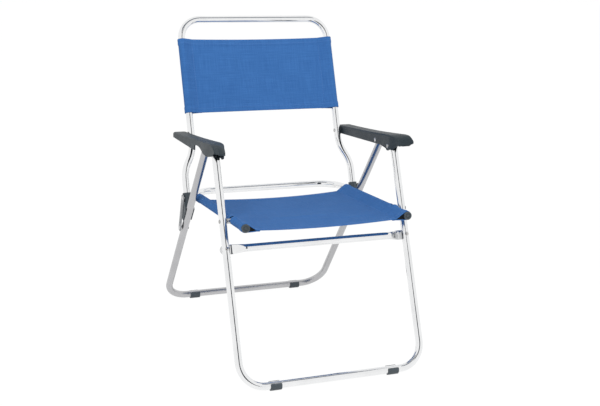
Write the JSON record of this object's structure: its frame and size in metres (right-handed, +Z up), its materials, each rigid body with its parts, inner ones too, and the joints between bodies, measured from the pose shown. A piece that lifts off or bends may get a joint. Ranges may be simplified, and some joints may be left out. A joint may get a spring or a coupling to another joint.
{
  "type": "folding camp chair",
  "caption": "Folding camp armchair: round-tube frame with fabric seat and back band, moulded armrests and linked legs that fold flat against the back.",
  "frame": {"origin": "on the floor, under the middle of the open chair", "axes": "+X to the right seen from the front, +Y to the rear, +Z up; the chair faces -Y"},
  "size_m": [0.563, 0.7332, 0.8676],
  "materials": {
    "polished_tube": "polished",
    "rivet_steel": "bright zinc",
    "pressed_steel": "zinc plated",
    "slate_plastic": "fine grained moulding",
    "black_plastic": "moulded",
    "glide_plastic": "moulded",
    "blue_fabric": "plain weave"
  },
  "bodies": {
    "back": {"back_frame_tube": "polished_tube", "back_panel": "blue_fabric", "hinge_block_left": "black_plastic", "hinge_block_right": "black_plastic", "hinge_rivets": "rivet_steel", "hinge_spacers": "rivet_steel", "armrest_rivets": "rivet_steel"},
    "armrests": {"armrest_left": "slate_plastic", "armrest_right": "slate_plastic"},
    "seat": {"seat_frame_tube": "polished_tube", "seat_panel": "blue_fabric", "seat_plug_left": "black_plastic", "seat_plug_right": "black_plastic"},
    "links": {"link_left": "pressed_steel", "link_right": "pressed_steel", "link_rivet_heads": "rivet_steel"},
    "front_legs": {"front_leg_frame": "polished_tube", "front_stretcher": "polished_tube", "stretcher_rivets": "rivet_steel", "front_leg_rivets": "rivet_steel", "seat_pivot_rivets": "rivet_steel", "seat_bushes": "rivet_steel", "front_foot_left": "glide_plastic", "front_foot_right": "glide_plastic"},
    "rear_legs": {"rear_leg_frame": "polished_tube", "rear_leg_rivets": "rivet_steel", "link_rivets": "rivet_steel", "link_washers": "rivet_steel", "rear_foot_left": "glide_plastic", "rear_foot_right": "glide_plastic"}
  },
  "joints": [
    {"name": "armrest_fold", "type": "hinge", "parent": "back", "child": "armrests", "pos_m": [0, 0.2022, 0.5421], "axis": [-1, 0, 0], "range_deg": [0, 89]},
    {"name": "seat_fold", "type": "hinge", "parent": "back", "child": "seat", "pos_m": [0, 0.13248, 0.384], "axis": [-1, 0, 0], "range_deg": [0, 89]},
    {"name": "link_swing", "type": "hinge", "parent": "back", "child": "links", "pos_m": [0, 0.13248, 0.384], "axis": [-1, 0, 0], "range_deg": [0, 168.65]},
    {"name": "front_leg_fold", "type": "hinge", "parent": "armrests", "child": "front_legs", "pos_m": [0, -0.1114, 0.5612], "axis": [-1, 0, 0], "range_deg": [-89, 0]},
    {"name": "rear_leg_fold", "type": "hinge", "parent": "armrests", "child": "rear_legs", "pos_m": [0, -0.0329, 0.5623], "axis": [-1, 0, 0], "range_deg": [-30.95, 0]}
  ],
  "couplings": [
    {"joint": "seat_fold", "follows": "armrest_fold", "ratio": 1},
    {"joint": "link_swing", "follows": "armrest_fold", "ratio": 1.895},
    {"joint": "front_leg_fold", "follows": "armrest_fold", "ratio": -1},
    {"joint": "rear_leg_fold", "follows": "armrest_fold", "ratio": -0.3477}
  ]
}
